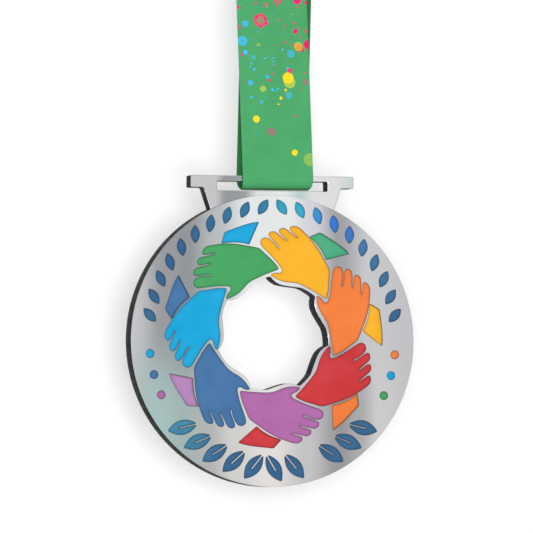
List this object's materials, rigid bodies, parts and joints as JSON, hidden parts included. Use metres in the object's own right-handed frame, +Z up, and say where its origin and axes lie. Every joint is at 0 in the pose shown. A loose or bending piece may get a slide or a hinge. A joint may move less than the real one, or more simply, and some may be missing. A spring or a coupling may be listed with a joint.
{
  "type": "sports finisher medal",
  "caption": "Round cast medal with a ring of linked enamel hands round a wavy opening, leaf borders and a slotted hanger, on a folded printed ribbon.",
  "frame": {"origin": "the point that the ribbon hangs from, at the top middle of the folded hank", "axes": "+Z up, -Y out of the medal's face, +X to the viewer's right"},
  "size_m": [0.089, 0.0098, 0.2204],
  "materials": {
    "cast_metal": "polished bright nickel plate over a zinc alloy casting, dark side walls",
    "enamel_yellow": "glossy poured soft enamel",
    "enamel_orange": "glossy poured soft enamel",
    "enamel_red": "glossy poured soft enamel",
    "enamel_purple": "glossy poured soft enamel",
    "enamel_blue": "glossy poured soft enamel",
    "enamel_cyan": "glossy poured soft enamel",
    "enamel_green": "glossy poured soft enamel",
    "enamel_leaf": "glossy poured soft enamel, dark blue running to teal",
    "ribbon_cloth": "woven polyester ribbon printed with paint splashes",
    "band_elastic": "flat woven elastic band"
  },
  "bodies": {
    "ribbon": {"ribbon_strap": "ribbon_cloth", "ribbon_hank": "ribbon_cloth", "hank_band": "band_elastic"},
    "medal": {"medal_casting": "cast_metal", "hand_enamel_yellow": "enamel_yellow", "sleeve_enamel_yellow": "enamel_yellow", "hand_enamel_orange": "enamel_orange", "sleeve_enamel_orange": "enamel_orange", "hand_enamel_red": "enamel_red", "sleeve_enamel_red": "enamel_red", "hand_enamel_purple": "enamel_purple", "sleeve_enamel_purple": "enamel_purple", "hand_enamel_blue": "enamel_blue", "sleeve_enamel_blue": "enamel_blue", "hand_enamel_cyan": "enamel_cyan", "sleeve_enamel_cyan": "enamel_cyan", "hand_enamel_green": "enamel_green", "sleeve_enamel_green": "enamel_green", "upper_leaf_enamel_01": "enamel_leaf", "upper_leaf_enamel_02": "enamel_leaf", "upper_leaf_enamel_03": "enamel_leaf", "upper_leaf_enamel_04": "enamel_leaf", "upper_leaf_enamel_05": "enamel_leaf", "upper_leaf_enamel_06": "enamel_leaf", "upper_leaf_enamel_07": "enamel_leaf", "upper_leaf_enamel_08": "enamel_leaf", "upper_leaf_enamel_09": "enamel_leaf", "upper_leaf_enamel_10": "enamel_leaf", "upper_leaf_enamel_11": "enamel_leaf", "upper_leaf_enamel_12": "enamel_leaf", "upper_leaf_enamel_13": "enamel_leaf", "upper_leaf_enamel_14": "enamel_leaf", "upper_leaf_enamel_15": "enamel_leaf", "upper_leaf_enamel_16": "enamel_leaf", "upper_leaf_enamel_17": "enamel_leaf", "upper_leaf_enamel_18": "enamel_leaf", "upper_leaf_enamel_19": "enamel_leaf", "upper_leaf_enamel_20": "enamel_leaf", "lower_leaf_enamel_01": "enamel_leaf", "lower_leaf_enamel_02": "enamel_leaf", "lower_leaf_enamel_03": "enamel_leaf", "lower_leaf_enamel_04": "enamel_leaf", "lower_leaf_enamel_05": "enamel_leaf", "lower_leaf_enamel_06": "enamel_leaf", "lower_leaf_enamel_07": "enamel_leaf", "lower_leaf_enamel_08": "enamel_leaf", "lower_leaf_enamel_09": "enamel_leaf", "lower_leaf_enamel_10": "enamel_leaf", "dot_enamel_left_1": "enamel_cyan", "dot_enamel_left_2": "enamel_blue", "dot_enamel_left_3": "enamel_purple", "dot_enamel_right_1": "enamel_orange", "dot_enamel_right_2": "enamel_cyan", "dot_enamel_right_3": "enamel_green"}
  },
  "joints": [
    {"name": "medal_swing", "type": "hinge", "parent": "ribbon", "child": "medal", "pos_m": [0, 0, -0.1264], "axis": [1, 0, 0], "range_deg": [-90, 90]}
  ]
}
